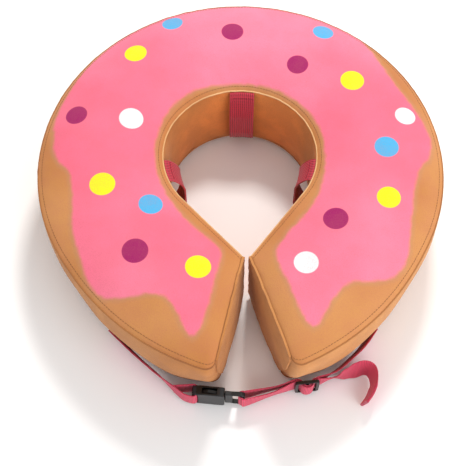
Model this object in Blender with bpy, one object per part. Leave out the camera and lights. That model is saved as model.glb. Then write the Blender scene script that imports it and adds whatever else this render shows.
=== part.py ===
"""Inflatable ring collar for a pet: a plush C-shaped ring closed by a strap with a side-release buckle.

The ring lies on its bottom panel with the opening between its two lobes towards -Y. The origin is under
the middle of the whole part, on the floor. Metres, +Z up.
"""

import math

import bmesh
import bpy
from mathutils import Vector

# Ring plan, about the ring's centre
RING_CENTRE = Vector((0.0, 0.0150, 0.0))
OUTER_RADIUS = 0.200
LOBE_REACH = 0.020
LOBE_START = math.radians(122)
LOBE_FULL = math.radians(170)
NECK_RADIUS = 0.077
NECK_OFFSET = 0.011
TANGENT_ANGLE = math.radians(130)
END_ANGLE = math.radians(170.6)
INNER_END = Vector((0.0042, -0.104))
CORNER_ROUND = 0.011

# Ring section
SEAM_LOW = 0.007
SEAM_HIGH = 0.086
TOP_CROWN = 0.014
BOTTOM_CROWN = 0.010
END_CROWN = 0.35
END_FADE = 0.045
OUTER_INSET = 0.010
END_TUCK = 0.008
END_TUCK_LENGTH = 0.045
OUTER_BULGE = 0.004
INNER_INSET = 0.003
INNER_BULGE = 0.004
FABRIC = 0.0020
SEAM_GAP = 0.0022
GAP = 0.0003
END_BULGE = 0.004

# Bladder
FILM = 0.0010
BLADDER_MARGIN = 0.007
BLADDER_MID = 0.048
BLADDER_RISE = 0.040
BLADDER_DROP = 0.038
BLADDER_END = 0.040
BLADDER_POWER = 2.2

# Valve, on the bladder
VALVE_ANGLE = math.radians(25)
VALVE_STAND = 0.0022
VALVE_STEM = 0.0045
VALVE_BORE = 0.0028

# Zip, in the back of the outer wall
ZIP_HALF_ANGLE = math.radians(55)
ZIP_LEVEL = 0.0465
ZIP_SLOT = 0.0050
TAPE_THICK = 0.0008
TAPE_HEIGHT = 0.0120
COIL_GAP = 0.0014
COIL_HEIGHT = 0.0022
COIL_DEPTH = 0.0018
SLIDER_HALF_LENGTH = 0.0065
SLIDER_PLATE = 0.0010
SLIDER_CLEARANCE = 0.0006
SLIDER_ANGLE = math.radians(-50)

# Pet collar loops on the inner wall
LOOP_WIDTH = 0.025
LOOP_THICK = 0.0016
LOOP_STANDOFF = 0.0095
LOOP_ANGLES = {"collar_loop_back": -5.0, "collar_loop_left": 102.0, "collar_loop_right": -107.0}

# Strap and its hardware
WEBBING_WIDTH = 0.020
WEBBING_THICK = 0.0014
STRAP_LEVEL = 0.0137
# Stops along a strap's knots: (knot, degrees of lean), (knot, layers) and (knot, metres of drop)
LEVEL = [(0, 0.0)]
SINGLE = [(0, 1.0)]
LEFT_LEAN = [(0, 18), (3, 16), (4, 0)]
ADJUSTER_LEAN = [(0, -20), (3, -18), (4, 0), (14, 0), (15, -10), (16, 0), (22, 0), (23, 10), (24, 0),
                 (34, 0), (35, 18), (36, -8), (37, -24), (39, -22), (41, -14)]
ADJUSTER_LAYERS = [(41, 1.0), (41.4, 2.0)]
ADJUSTER_DROP = [(14, 0.0), (15, 0.0006), (16, 0.0), (22, 0.0), (23, 0.0006), (24, 0.0), (34, 0.0),
                 (38, 0.0034)]
BUCKLE_MOUTH = Vector((-0.0268, -0.2162, STRAP_LEVEL))
BUCKLE_TURN = math.radians(-8.4)
BUCKLE_HEIGHT = 0.026
BUCKLE_THICK = 0.0096
RECEPTACLE_LENGTH = 0.031
SHELL_WALL = 0.0018
PRONG_THICK = 0.0030
PRONG_LENGTH = 0.0215
PRONG_ROOT = 0.0082
THROAT_HEIGHT = 0.0218
PLUG_LENGTH = 0.0195
PLUG_BAR = 0.0042
PLUG_THICK = 0.0046
GLIDE_CENTRE = Vector((0.0524, -0.2100, STRAP_LEVEL))
GLIDE_TURN = math.radians(3.0)
GLIDE_LENGTH = 0.023
GLIDE_HEIGHT = 0.0245
GLIDE_THICK = 0.0032
GLIDE_BAR = 0.0030

COLOURS = {
    "tan_plush": (0.61, 0.29, 0.09),
    "pink_plush": (0.90, 0.24, 0.36),
    "wall_plush": (0.58, 0.25, 0.07),
    "red_webbing": (0.62, 0.03, 0.08),
    "pink_webbing": (0.75, 0.05, 0.12),
    "black_acetal": (0.012, 0.012, 0.013),
    "bladder_film": (0.72, 0.74, 0.76),
    "valve_vinyl": (0.80, 0.81, 0.82),
    "zip_tape": (0.50, 0.24, 0.08),
    "zip_coil": (0.42, 0.19, 0.06),
    "zip_metal": (0.55, 0.50, 0.42),
}
ROUGHNESS = {"black_acetal": 0.35, "bladder_film": 0.25, "valve_vinyl": 0.30, "zip_metal": 0.35}
METALLIC = {"zip_metal": 1.0}


# ---------------------------------------------------------------- scene and materials

def clear_scene():
    for item in list(bpy.data.objects):
        bpy.data.objects.remove(item, do_unlink=True)


def material(name):
    """One Principled material for each named finish."""
    found = bpy.data.materials.get(name)
    if found:
        return found
    made = bpy.data.materials.new(name)
    made.use_nodes = True
    shader = made.node_tree.nodes["Principled BSDF"]
    shader.inputs["Base Color"].default_value = (*COLOURS[name], 1.0)
    shader.inputs["Roughness"].default_value = ROUGHNESS.get(name, 0.9)
    shader.inputs["Metallic"].default_value = METALLIC.get(name, 0.0)
    return made


def add_object(name, mesh, finish, parent=None, smooth=35):
    mesh.materials.append(material(finish))
    mesh.shade_smooth()
    mesh.set_sharp_from_angle(angle=math.radians(smooth))
    made = bpy.data.objects.new(name, mesh)
    bpy.context.collection.objects.link(made)
    made.parent = parent
    return made


def add_empty(name, place, turn=0.0, parent=None):
    made = bpy.data.objects.new(name, None)
    made.location = place
    made.rotation_euler = (0.0, 0.0, turn)
    bpy.context.collection.objects.link(made)
    made.parent = parent
    return made


def to_object(name, work, finish, parent=None, smooth=35):
    bmesh.ops.recalc_face_normals(work, faces=work.faces)
    mesh = bpy.data.meshes.new(name)
    work.to_mesh(mesh)
    work.free()
    return add_object(name, mesh, finish, parent, smooth)


# ---------------------------------------------------------------- general solids

def shell(name, outside, inside, finish, parent=None, keep=None):
    """A closed sheet between two grids of points, with the cells that keep() refuses left open."""
    work = bmesh.new()
    rows, columns = len(outside), len(outside[0])
    faces_of = [[[work.verts.new(p) for p in row] for row in grid] for grid in (outside, inside)]
    kept = {
        (i, j)
        for i in range(rows - 1)
        for j in range(columns - 1)
        if keep is None or keep(i, j)
    }
    front, back = faces_of
    for i, j in kept:
        ring = [(i, j), (i + 1, j), (i + 1, j + 1), (i, j + 1)]
        work.faces.new([front[a][b] for a, b in ring])
        work.faces.new([back[a][b] for a, b in reversed(ring)])
        beyond = [(i, j - 1), (i + 1, j), (i, j + 1), (i - 1, j)]
        for side, neighbour in enumerate(beyond):
            if neighbour in kept:
                continue
            (a, b), (c, d) = ring[side], ring[(side + 1) % 4]
            work.faces.new([front[c][d], front[a][b], back[a][b], back[c][d]])
    loose = [v for v in work.verts if not v.link_faces]
    bmesh.ops.delete(work, geom=loose, context="VERTS")
    return to_object(name, work, finish, parent)


def prism(name, outline, depth, finish, parent=None, holes=(), bevel=0.0):
    """An outline in X and Z extruded along Y about y = 0, with round-cornered holes cut through it."""
    work = bmesh.new()
    front = [work.verts.new((x, -depth / 2, z)) for x, z in outline]
    face = work.faces.new(front)
    grown = bmesh.ops.extrude_face_region(work, geom=[face])
    moved = [v for v in grown["geom"] if isinstance(v, bmesh.types.BMVert)]
    bmesh.ops.translate(work, verts=moved, vec=(0, depth, 0))
    made = to_object(name, work, finish, parent)
    for number, hole in enumerate(holes):
        cut(made, prism(f"{name}_hole_{number}", hole, depth * 3, finish, parent))
    if bevel:
        soften = made.modifiers.new("soft_edges", "BEVEL")
        soften.width = bevel
        soften.segments = 2
        soften.limit_method = "ANGLE"
        soften.angle_limit = math.radians(40)
    return made


def cut(target, cutter, operation="DIFFERENCE"):
    cutter.hide_render = True
    cutter.display_type = "WIRE"
    step = target.modifiers.new(cutter.name, "BOOLEAN")
    step.operation = operation
    step.object = cutter
    step.solver = "EXACT"


def round_box(length, height, radius, centre=(0.0, 0.0), steps=4):
    """A rectangle in X and Z with round corners, as a list of points."""
    points = []
    for corner in range(4):
        across = 1 if corner in (0, 3) else -1
        up = 1 if corner in (0, 1) else -1
        middle = (centre[0] + across * (length / 2 - radius), centre[1] + up * (height / 2 - radius))
        for k in range(steps + 1):
            angle = math.pi / 2 * (corner + k / steps)
            points.append((middle[0] + radius * math.cos(angle), middle[1] + radius * math.sin(angle)))
    return points


def smooth_path(points, steps=3):
    """Points along a Catmull-Rom curve through the given points, a few to each stretch."""
    knots = [Vector(p) for p in points]
    knots = [2 * knots[0] - knots[1], *knots, 2 * knots[-1] - knots[-2]]
    path = []
    for a, b, c, d in zip(knots, knots[1:], knots[2:], knots[3:]):
        for k in range(steps):
            t = k / steps
            path.append(0.5 * (2 * b + (c - a) * t + (2 * a - 5 * b + 4 * c - d) * t**2
                               + (3 * b - a - 3 * c + d) * t**3))
    return [*path, knots[-2]]


def eased(stops, knot):
    """A value eased between (knot, value) stops along a path, and held beyond the first and the last."""
    if knot <= stops[0][0]:
        return stops[0][1]
    for (start, low), (stop, high) in zip(stops, stops[1:]):
        if knot <= stop:
            return low + (high - low) * smoothstep((knot - start) / (stop - start))
    return stops[-1][1]


def ribbon(name, knots, finish, parent=None, lean=LEVEL, layers=SINGLE, drop=LEVEL):
    """Webbing on edge through plan points; lean (degrees), layers and drop are stops along its knots."""
    points = smooth_path(knots)
    near, far = [], []
    for k, point in enumerate(points):
        before = points[max(k - 1, 0)]
        after = points[min(k + 1, len(points) - 1)]
        along = (after - before).normalized()
        side = Vector((along.y, -along.x))
        knot = k * (len(knots) - 1) / (len(points) - 1)
        tip = math.radians(eased(lean, knot))
        half = WEBBING_THICK * eased(layers, knot) / 2
        near_row, far_row = [], []
        for edge in (-1, 1):
            lift = edge * WEBBING_WIDTH / 2
            foot = point + side * lift * math.sin(tip)
            height = STRAP_LEVEL + lift * math.cos(tip) - eased(drop, knot)
            near_row.append(Vector((*(foot + side * half), height)))
            far_row.append(Vector((*(foot - side * half), height)))
        near.append(near_row)
        far.append(far_row)
    return shell(name, near, far, finish, parent)


def turned(point, centre, angle):
    """A plan point given in a piece's own axes, moved to the ring's plan."""
    x, y = point
    return Vector((centre.x + x * math.cos(angle) - y * math.sin(angle),
                   centre.y + x * math.sin(angle) + y * math.cos(angle)))


# ---------------------------------------------------------------- ring surfaces

def smoothstep(value):
    value = min(1.0, max(0.0, value))
    return value * value * (3 - 2 * value)


def outer_radius(angle):
    """Plan radius of the outer seam. The angle is counted from the back of the ring."""
    grown = min(1.0, max(0.0, (abs(angle) - LOBE_START) / (LOBE_FULL - LOBE_START)))
    return OUTER_RADIUS + LOBE_REACH * grown**1.5


def outer_seam(angle):
    """Plan point of the outer seam, with the lobe's corner rounded off towards the opening."""
    radius = outer_radius(angle)
    before_end = (END_ANGLE - abs(angle)) * radius
    short = CORNER_ROUND - min(before_end, CORNER_ROUND)
    radius -= CORNER_ROUND - math.sqrt(max(CORNER_ROUND**2 - short**2, 0.0))
    return Vector((-radius * math.sin(angle), radius * math.cos(angle)))


def inner_seam(angle):
    """Plan point of the inner seam: a round neck that runs out straight to the lobes' tips."""
    side = 1 if angle >= 0 else -1
    on_circle = min(abs(angle), TANGENT_ANGLE)
    point = Vector((-side * NECK_RADIUS * math.sin(on_circle),
                    NECK_OFFSET + NECK_RADIUS * math.cos(on_circle)))
    run_out = max(0.0, (abs(angle) - TANGENT_ANGLE) / (END_ANGLE - TANGENT_ANGLE))
    tip = Vector((-side * INNER_END.x, INNER_END.y))
    return point.lerp(tip, run_out)


def across(angle):
    """Unit plan vector of the section at an angle, from the neck outwards."""
    return (outer_seam(angle) - inner_seam(angle)).normalized()


def rise(level):
    return (level - SEAM_LOW) / (SEAM_HIGH - SEAM_LOW)


def outer_wall(angle, level, depth=0.0):
    """A point of the outer wall at a height, depth inside its face."""
    part = rise(level)
    before_end = (END_ANGLE - abs(angle)) * OUTER_RADIUS
    inset = OUTER_INSET + END_TUCK * smoothstep(1 - before_end / END_TUCK_LENGTH)
    out = -inset * (1 - part) ** 1.3 + OUTER_BULGE * 4 * part * (1 - part) - depth
    plan = outer_seam(angle) + across(angle) * out
    return Vector((plan.x, plan.y, level))


def inner_wall(angle, level, depth=0.0):
    """A point of the inner wall at a height, depth inside its face."""
    part = rise(level)
    fade = smoothstep((END_ANGLE - abs(angle)) / math.radians(25))
    out = -(INNER_INSET * (1 - part) + INNER_BULGE * 4 * part * (1 - part)) * fade + depth
    plan = inner_seam(angle) + across(angle) * out
    return Vector((plan.x, plan.y, level))


def end_fade(angle):
    """How much of the crown a section keeps: all of it, except close to the lobes' ends."""
    before_end = (END_ANGLE - abs(angle)) * OUTER_RADIUS
    left = min(1.0, before_end / END_FADE)
    return END_CROWN + (1 - END_CROWN) * (1 - (1 - left) ** 2.2)


def crown(share):
    return 1 - abs(2 * share - 1) ** 2.4


def top_point(angle, share, depth=0.0):
    plan = inner_seam(angle).lerp(outer_seam(angle), share)
    return Vector((plan.x, plan.y, SEAM_HIGH + TOP_CROWN * end_fade(angle) * crown(share) - depth))


def bottom_point(angle, share, depth=0.0):
    low_in = inner_wall(angle, SEAM_LOW)
    low_out = outer_wall(angle, SEAM_LOW)
    plan = low_in.lerp(low_out, share)
    level = max(SEAM_LOW - BOTTOM_CROWN * crown(share), 0.0)
    return Vector((plan.x, plan.y, level + depth))


def stations(count):
    """Section angles from the left end to the right end, closer together at the rounded corners."""
    near_end = [0.0, 0.0008, 0.003, 0.0065]
    ends = [END_ANGLE - d / (OUTER_RADIUS + LOBE_REACH) for d in near_end]
    last = END_ANGLE - CORNER_ROUND / (OUTER_RADIUS + LOBE_REACH)
    middle = [last * (1 - 2 * k / count) for k in range(count + 1)]
    return ends + middle + [-a for a in reversed(ends)]


def grid(rows, columns, point):
    return [[point(a, b) for b in columns] for a in rows]


def spread(low, high, count):
    return [low + (high - low) * k / count for k in range(count + 1)]


# ---------------------------------------------------------------- cover

def build_cover(ring):
    angles = stations(56)
    shares = [0.0, 0.07, 0.22, 0.5, 0.78, 0.93, 1.0]
    shell("top_panel",
          grid(angles, shares, top_point),
          grid(angles, shares, lambda a, s: top_point(a, s, FABRIC)),
          "pink_plush", ring)
    shell("bottom_panel",
          grid(angles, shares, bottom_point),
          grid(angles, shares, lambda a, s: bottom_point(a, s, FABRIC)),
          "tan_plush", ring)
    low, high = SEAM_LOW + SEAM_GAP + GAP, SEAM_HIGH - SEAM_GAP - GAP
    levels = spread(low, high, 3)
    shell("inner_wall_panel",
          grid(angles, levels, inner_wall),
          grid(angles, levels, lambda a, z: inner_wall(a, z, FABRIC)),
          "wall_plush", ring)
    build_outer_wall(ring, low, high)
    for name, side in (("end_panel_left", 1), ("end_panel_right", -1)):
        build_end_panel(name, side, ring)


def build_outer_wall(ring, low, high):
    """The outer wall with a long slot round its back, which the zip closes."""
    angles = sorted({*stations(56), ZIP_HALF_ANGLE, -ZIP_HALF_ANGLE}, reverse=True)
    slot = (ZIP_LEVEL - ZIP_SLOT, ZIP_LEVEL + ZIP_SLOT)
    levels = [low, (low + slot[0]) / 2, *slot, (high + slot[1]) / 2, high]

    def is_cloth(i, j):
        in_slot = abs(angles[i] + angles[i + 1]) / 2 < ZIP_HALF_ANGLE and j == 2
        return not in_slot

    shell("outer_wall_panel",
          grid(angles, levels, outer_wall),
          grid(angles, levels, lambda a, z: outer_wall(a, z, FABRIC)),
          "tan_plush", ring, is_cloth)


def build_end_panel(name, side, ring):
    """A panel that closes one lobe's end, bulging a little into the opening."""
    angle = side * END_ANGLE
    inner = inner_seam(angle)
    outer = outer_seam(angle)
    facing = Vector((side, 0.0))
    along = (outer - inner).normalized()
    facing = (facing - along * facing.dot(along)).normalized()

    def point(share, part, depth):
        low = bottom_point(angle, share).z
        high = top_point(angle, share).z
        level = low + (high - low) * part
        start = inner_wall(angle, max(level, SEAM_LOW))
        stop = outer_wall(angle, min(max(level, SEAM_LOW), SEAM_HIGH))
        place = start.lerp(stop, share)
        swell = END_BULGE * 16 * share * (1 - share) * part * (1 - part)
        plan = Vector((place.x, place.y)) + facing * (GAP + FABRIC - depth + swell)
        return Vector((plan.x, plan.y, level))

    shares = [0.0, 0.08, 0.25, 0.5, 0.75, 0.92, 1.0]
    parts = [0.0, 0.12, 0.35, 0.65, 0.88, 1.0]
    shell(name,
          grid(shares, parts, lambda s, p: point(s, p, 0.0)),
          grid(shares, parts, lambda s, p: point(s, p, FABRIC)),
          "tan_plush", ring)


# ---------------------------------------------------------------- bladder and valve

def bladder_point(angle, turn, side, depth):
    """A point of the bladder: an oval tube that follows the ring and rounds off at the lobes."""
    before_end = (END_ANGLE - abs(angle)) * OUTER_RADIUS - BLADDER_MARGIN
    left = min(1.0, max(0.0, before_end / BLADDER_END))
    fade = math.sqrt(max(0.0, 1 - (1 - left) ** 2))
    start = inner_wall(angle, BLADDER_MID)
    stop = outer_wall(angle, BLADDER_MID)
    half = (stop - start).length / 2 - BLADDER_MARGIN - depth
    reach = (BLADDER_RISE if side > 0 else BLADDER_DROP) - depth
    power = 2 / BLADDER_POWER
    out = half * math.copysign(abs(math.cos(turn)) ** power, math.cos(turn))
    lift = reach * fade * abs(math.sin(turn)) ** power
    middle = (start + stop) / 2
    plan = Vector((middle.x, middle.y)) + across(angle) * out
    return Vector((plan.x, plan.y, BLADDER_MID + side * (lift + GAP)))


def build_bladder(ring):
    first = END_ANGLE - BLADDER_MARGIN / OUTER_RADIUS
    steps = [0.0, 0.002, 0.006, 0.013, 0.024, 0.040]
    ends = [first - d / OUTER_RADIUS for d in steps]
    middle = [ends[-1] * (1 - 2 * k / 30) for k in range(1, 30)]
    angles = ends + middle + [-a for a in reversed(ends)]
    turns = [math.pi * k / 8 for k in range(9)]
    shift = FILM / OUTER_RADIUS
    inner_angles = [a - shift * max(-1, min(1, a / ends[-1] if abs(a) > ends[-1] else 0)) for a in angles]
    for name, side in (("bladder_upper_film", 1), ("bladder_lower_film", -1)):
        shell(name,
              grid(angles, turns, lambda a, t: bladder_point(a, t, side, 0.0)),
              grid(inner_angles, turns, lambda a, t: bladder_point(a, t, side, FILM)),
              "bladder_film", ring)


def lathe(name, profile, finish, parent, steps=24):
    """A closed outline of radius and height turned about the local Z axis."""
    work = bmesh.new()
    rings = []
    for k in range(steps):
        angle = 2 * math.pi * k / steps
        rings.append([(r * math.cos(angle), r * math.sin(angle), z) for r, z in profile])
    corners = [[work.verts.new(p) for p in ring] for ring in rings]
    for k in range(steps):
        one, two = corners[k], corners[(k + 1) % steps]
        for j in range(len(profile)):
            ahead = (j + 1) % len(profile)
            work.faces.new([one[j], two[j], two[ahead], one[ahead]])
    bmesh.ops.remove_doubles(work, verts=work.verts, dist=1e-7)
    bmesh.ops.dissolve_degenerate(work, edges=work.edges, dist=1e-7)
    return to_object(name, work, finish, parent)


def build_valve(ring):
    """The inflation valve on the bladder's outer shoulder, with a plug cap that pulls straight out."""
    place = bladder_point(VALVE_ANGLE, math.pi / 4, 1, 0.0)
    out = across(VALVE_ANGLE)
    axis = Vector((out.x, out.y, 1.0)).normalized()
    seat = add_empty("valve_axis", place, 0.0, ring)
    seat.rotation_mode = "QUATERNION"
    seat.rotation_quaternion = axis.to_track_quat("Z", "Y")
    lathe("valve_body", [
        (VALVE_BORE, -0.0120), (VALVE_STEM, -0.0120), (VALVE_STEM, VALVE_STAND), (0.0100, VALVE_STAND),
        (0.0100, VALVE_STAND + 0.0012), (VALVE_BORE, VALVE_STAND + 0.0012),
    ], "valve_vinyl", seat)
    top = VALVE_STAND + 0.0012 + GAP
    lathe("valve_cap", [
        (0.0, -0.0040), (VALVE_BORE - GAP, -0.0040), (VALVE_BORE - GAP, top),
        (0.0058, top), (0.0058, top + 0.0020), (0.0, top + 0.0020),
    ], "valve_vinyl", seat)
    hole = lathe("film_hole", [
        (0.0, -0.0150), (VALVE_STEM + GAP, -0.0150), (VALVE_STEM + GAP, 0.0150), (0.0, 0.0150),
    ], "valve_vinyl", seat)
    cut(bpy.data.objects["bladder_upper_film"], hole)


# ---------------------------------------------------------------- zip

def wall_lean():
    """How far the outer wall's face tips outwards at the zip."""
    above = outer_wall(0.0, ZIP_LEVEL + 0.001)
    below = outer_wall(0.0, ZIP_LEVEL - 0.001)
    return math.atan2(above.y - below.y, above.z - below.z)


def wall_band(name, low, high, near, far, finish, ring, half=ZIP_HALF_ANGLE, count=44, middle=0.0):
    """A band that follows the outer wall, between two depths square to its face."""
    angles = [middle + half * (1 - 2 * k / count) for k in range(count + 1)]
    lift = math.sin(wall_lean())
    return shell(name,
                 grid(angles, [low, high], lambda a, z: outer_wall(a, z + near * lift, near)),
                 grid(angles, [low, high], lambda a, z: outer_wall(a, z + far * lift, far)),
                 finish, ring)


def build_zip(ring):
    tape_near = FABRIC + 0.0006
    tape_far = tape_near + TAPE_THICK
    coil_far = tape_near - GAP
    coil_near = coil_far - COIL_DEPTH
    for name, sign in (("upper", 1), ("lower", -1)):
        edges = sorted(ZIP_LEVEL + sign * z for z in (COIL_GAP / 2, TAPE_HEIGHT))
        wall_band(f"zipper_tape_{name}", *edges, tape_near, tape_far, "zip_tape", ring)
        edges = sorted(ZIP_LEVEL + sign * z for z in (COIL_GAP / 2, COIL_GAP / 2 + COIL_HEIGHT))
        wall_band(f"zipper_coil_{name}", *edges, coil_near, coil_far, "zip_coil", ring,
                  half=ZIP_HALF_ANGLE - math.radians(1.2))
    for name, sign in (("zipper_stop_closed", -1), ("zipper_stop_open", 1)):
        reach = COIL_GAP / 2 + COIL_HEIGHT
        wall_band(name, ZIP_LEVEL - reach, ZIP_LEVEL + reach, coil_near, coil_far, "zip_metal", ring,
                  half=math.radians(0.45), count=2, middle=sign * (ZIP_HALF_ANGLE - math.radians(0.5)))
    build_slider(ring, coil_near, tape_far)


def build_slider(ring, coil_near, tape_far):
    """The slider: a plate outside the coils, one behind the tapes, a thin divider and a bridge."""
    lean = wall_lean()
    turner = add_empty("zipper_axis", (0, 0, 0), SLIDER_ANGLE, ring)
    seat = add_empty("slider_seat", outer_wall(0.0, ZIP_LEVEL), 0.0, turner)
    seat.rotation_euler.x = -lean
    front = SLIDER_CLEARANCE - coil_near
    back = -tape_far - SLIDER_CLEARANCE
    half_height = COIL_GAP / 2 + COIL_HEIGHT + 0.0004
    nose, tail = SLIDER_HALF_LENGTH, -SLIDER_HALF_LENGTH
    outline = [(nose, 0.55), (nose * 0.5, 1.0), (tail, 1.0), (tail, -1.0), (nose * 0.5, -1.0), (nose, -0.55)]
    shape = [(x, z * half_height) for x, z in outline]
    body = prism("zipper_slider", shape, SLIDER_PLATE, "zip_metal", seat)
    body.location.y = front + SLIDER_PLATE / 2
    behind = prism("slider_back_plate", shape, SLIDER_PLATE, "zip_metal", seat)
    behind.location.y = back - SLIDER_PLATE / 2
    web = round_box(0.004, COIL_GAP - 0.0007, 0.0002, (nose - 0.0035, 0.0), 1)
    divider = prism("slider_divider", web, front - back + SLIDER_PLATE, "zip_metal", seat)
    divider.location.y = (front + back) / 2
    top = front + SLIDER_PLATE
    bridge = prism("slider_bridge", round_box(0.0016, 0.0044, 0.0003, (0, 0), 1), 0.0032, "zip_metal", seat)
    bridge.location.y = top + 0.0012
    tunnel = prism("slider_tunnel", round_box(0.0040, 0.0024, 0.0002, (0, 0), 1), 0.0020, "zip_metal", seat)
    tunnel.location.y = top + 0.0010
    cut(bridge, tunnel)
    for piece in (behind, divider, bridge):
        cut(body, piece, "UNION")
    hinge = add_empty("pull_axis", (0.0, top + 0.0010, 0.0), 0.0, seat)
    hinge.rotation_euler.x = lean
    build_pull(hinge)


def build_pull(hinge):
    """The pull tab hangs from the slider's bridge: its crossbar runs through the bridge's tunnel."""
    bar = 0.0009
    length = 0.0230
    outline = round_box(0.0060, length, 0.0016, (0.0, bar / 2 - length / 2))
    eye = round_box(0.0034, 0.0038, 0.0006, (0.0, -bar / 2 - 0.0019))
    prism("zipper_pull", outline, 0.0010, "zip_metal", hinge, holes=[eye])


# ---------------------------------------------------------------- collar loops

def build_loops(ring):
    """Webbing bands that bow off the inner wall between its two seams, for the pet's own collar."""
    low, high = SEAM_LOW + 0.004, SEAM_HIGH - 0.004
    levels = spread(low, high, 12)
    for name, degrees in LOOP_ANGLES.items():
        angle = math.radians(degrees)
        normal = Vector((-math.sin(angle), math.cos(angle)))
        side = Vector((-normal.y, normal.x))

        free = inner_wall(angle, ZIP_LEVEL) - Vector((*normal, 0.0)) * LOOP_STANDOFF

        def point(offset, level, depth):
            part = (level - low) / (high - low)
            bow = min(1.0, 2.6 * math.sin(math.pi * part) ** 0.8)
            sewn = inner_wall(angle, level) - Vector((*normal, 0.0)) * 2 * GAP
            band = sewn.lerp(free, bow)
            curve = offset**2 / (2 * NECK_RADIUS)
            plan = Vector((band.x, band.y)) - normal * (depth + curve) + side * offset
            return Vector((plan.x, plan.y, level))

        offsets = spread(-LOOP_WIDTH / 2, LOOP_WIDTH / 2, 2)
        shell(name,
              grid(offsets, levels, lambda s, z: point(s, z, LOOP_THICK)),
              grid(offsets, levels, lambda s, z: point(s, z, 0.0)),
              "red_webbing", ring)


# ---------------------------------------------------------------- strap, buckle, tri-glide

def build_receptacle(buckle):
    """The buckle's receptacle: a flat open box with a window in each edge and a webbing bar behind."""
    length = RECEPTACLE_LENGTH
    half = BUCKLE_HEIGHT / 2
    inside = BUCKLE_THICK - 2 * SHELL_WALL
    outline = [
        (0.0, -half + 0.0008), (0.0, half - 0.0008), (-0.0040, half), (-length + 0.012, half),
        (-length + 0.004, half - 0.0008), (-length, half - 0.0045),
        (-length, -half + 0.0045), (-length + 0.004, -half + 0.0008), (-length + 0.012, -half),
        (-0.0040, -half),
    ]
    body = prism("buckle_receptacle", outline, BUCKLE_THICK, "black_acetal", buckle, bevel=0.0009)
    deep = length - 0.0075
    throat = prism("throat", round_box(deep + 0.004, THROAT_HEIGHT, 0.0010, (-deep / 2 + 0.002, 0.0)),
                   inside, "black_acetal", buckle)
    windows = prism("windows", round_box(0.0145, BUCKLE_HEIGHT + 0.01, 0.0012, (-0.0142, 0.0)),
                    inside, "black_acetal", buckle)
    slot = prism("webbing_slot", round_box(0.0034, WEBBING_WIDTH + 0.0014, 0.0012, (-length + 0.0044, 0.0)),
                 BUCKLE_THICK * 3, "black_acetal", buckle)
    for tool in (throat, windows, slot):
        cut(body, tool)


def build_plug(slider):
    """The plug: a webbing frame outside the receptacle and a guide blade that goes into it."""
    half = BUCKLE_HEIGHT / 2
    end = PLUG_LENGTH
    outline = [
        (0.0004, -half + 0.0016), (0.0004, half - 0.0016), (0.006, half - 0.0020),
        (end - 0.003, half - 0.0008), (end, half - 0.0035),
        (end, -half + 0.0035), (end - 0.003, -half + 0.0008), (0.006, -half + 0.0020),
    ]
    window = round_box(0.0078, WEBBING_WIDTH + 0.0010, 0.0012, (end - PLUG_BAR - 0.0039, 0.0))
    body = prism("buckle_plug", outline, PLUG_THICK, "black_acetal", slider, bevel=0.0007)
    blade = prism("guide_blade", round_box(0.0220, 0.0026, 0.0010, (-0.0090, 0.0)), PRONG_THICK,
                  "black_acetal", slider)
    opening = prism("plug_window", window, PLUG_THICK * 3, "black_acetal", slider)
    cut(body, opening)
    cut(body, blade, "UNION")


def build_prong(name, sign, slider):
    """A springy prong whose rounded head shows in the receptacle's window; its root is its hinge."""
    hinge = add_empty(f"{name}_axis", (0.0, 0.0, sign * PRONG_ROOT), 0.0, slider)
    reach = BUCKLE_HEIGHT / 2 - PRONG_ROOT - 0.0012
    outline = [
        (0.0, -0.0013), (0.0, 0.0013), (-0.0060, 0.0015), (-0.0135, reach - 0.0006),
        (-0.0158, reach), (-0.0182, reach - 0.0012), (-PRONG_LENGTH, 0.0014), (-PRONG_LENGTH, -0.0004),
        (-0.0150, -0.0010), (-0.0060, -0.0013),
    ]
    prism(name, [(x, z * sign) for x, z in outline], PRONG_THICK, "black_acetal", hinge)


def build_glide(slider):
    """The tri-glide: a flat frame with a middle bar that the webbing is threaded round."""
    slot = (GLIDE_LENGTH - 3 * GLIDE_BAR) / 2
    holes = [
        round_box(slot, WEBBING_WIDTH + 0.0012, 0.0008, (side * (slot + GLIDE_BAR) / 2, 0.0), 3)
        for side in (-1, 1)
    ]
    prism("tri_glide", round_box(GLIDE_LENGTH, GLIDE_HEIGHT, 0.0030), GLIDE_THICK,
          "black_acetal", slider, holes=holes, bevel=0.0004)


def build_left_webbing(ring):
    """From the sewn anchor under the left lobe's bulge to the receptacle's bar, ending in its slot."""
    bar = -RECEPTACLE_LENGTH + 0.0013
    near = [(bar - 0.014, -0.0010), (bar - 0.007, -0.0048), (bar, -0.0060), (bar + 0.0030, -0.0042),
            (bar + 0.0030, 0.0), (bar + 0.0030, 0.0042), (bar, 0.0060), (bar - 0.006, 0.0052),
            (bar - 0.020, 0.0030)]
    route = [(-0.1344, -0.1441), (-0.1228, -0.1571), (-0.1100, -0.1710), (-0.0935, -0.1875)]
    knots = [*[Vector(p) for p in route], *[turned(p, BUCKLE_MOUTH, BUCKLE_TURN) for p in near]]
    ribbon("left_webbing", knots, "pink_webbing", ring, LEFT_LEAN)


def through_glide(outer, direction):
    """Behind both end bars and over the middle bar, on the outer or the inner layer."""
    if outer:
        half = [(-0.0100, 0.0027), (-0.0079, 0.0023), (-0.0062, 0.0002), (-0.0049, -0.0024),
                (-0.0026, -0.0041)]
        crest = (0.0, -0.0046)
    else:
        half = [(-0.0100, 0.0045), (-0.0070, 0.0040), (-0.0047, 0.0017), (-0.0034, -0.0007),
                (-0.0023, -0.0024)]
        crest = (0.0, -0.0028)
    spots = [*half, crest, *[(-x, y) for x, y in reversed(half)]]
    return [turned(p, GLIDE_CENTRE, GLIDE_TURN) for p in spots[::direction]]


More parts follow.
